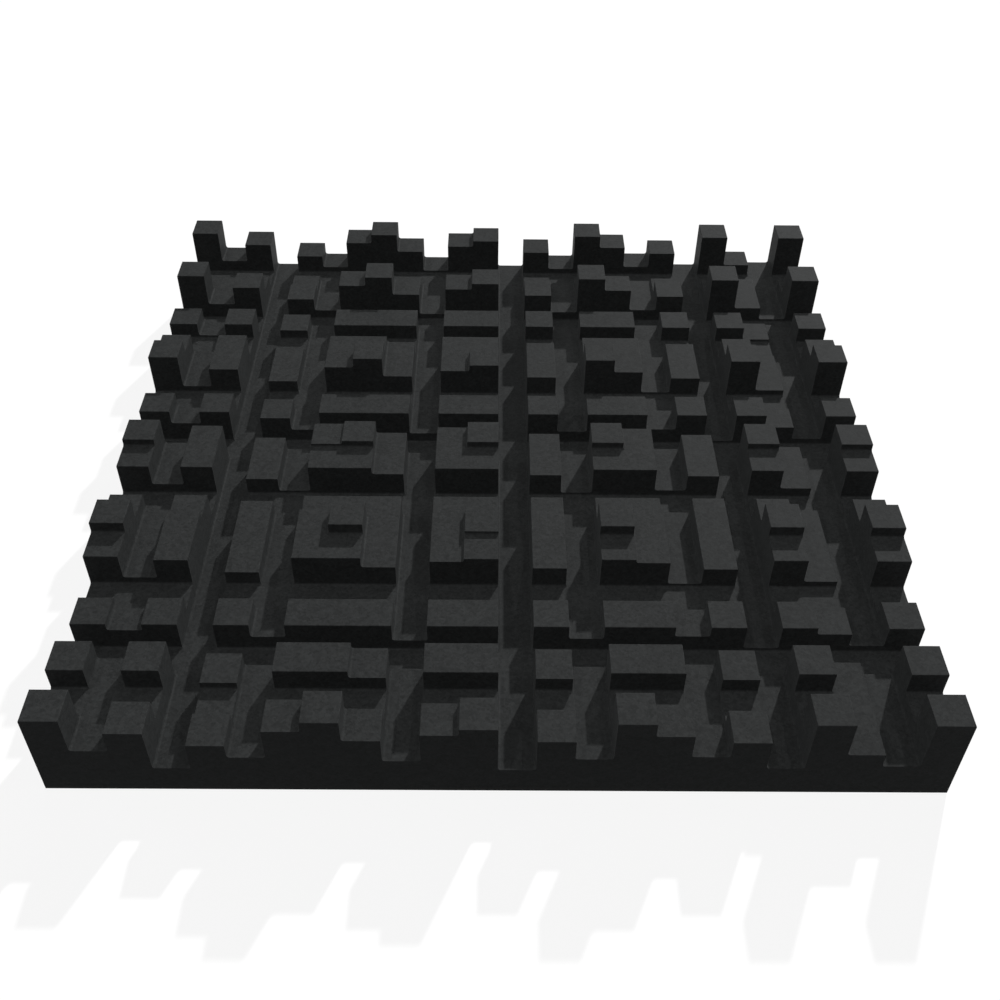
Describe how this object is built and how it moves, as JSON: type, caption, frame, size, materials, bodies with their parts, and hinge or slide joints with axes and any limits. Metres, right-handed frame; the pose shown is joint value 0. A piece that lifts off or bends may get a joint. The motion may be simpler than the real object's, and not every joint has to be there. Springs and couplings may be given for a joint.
{
  "type": "acoustic diffuser panel",
  "caption": "Square block of dark foam with a flat back and a face of square pillars and wells at stepped heights, which scatters sound from a wall or ceiling.",
  "frame": {"origin": "centre of the flat back", "axes": "+X to the right along the front edge, +Y to the back edge, +Z out of the stepped face"},
  "size_m": [0.595, 0.595, 0.0736],
  "materials": {
    "foam": "matt charcoal expanded polystyrene, cut surface with fine bead grain"
  },
  "bodies": {
    "root": {"diffuser_block": "foam"}
  },
  "joints": []
}
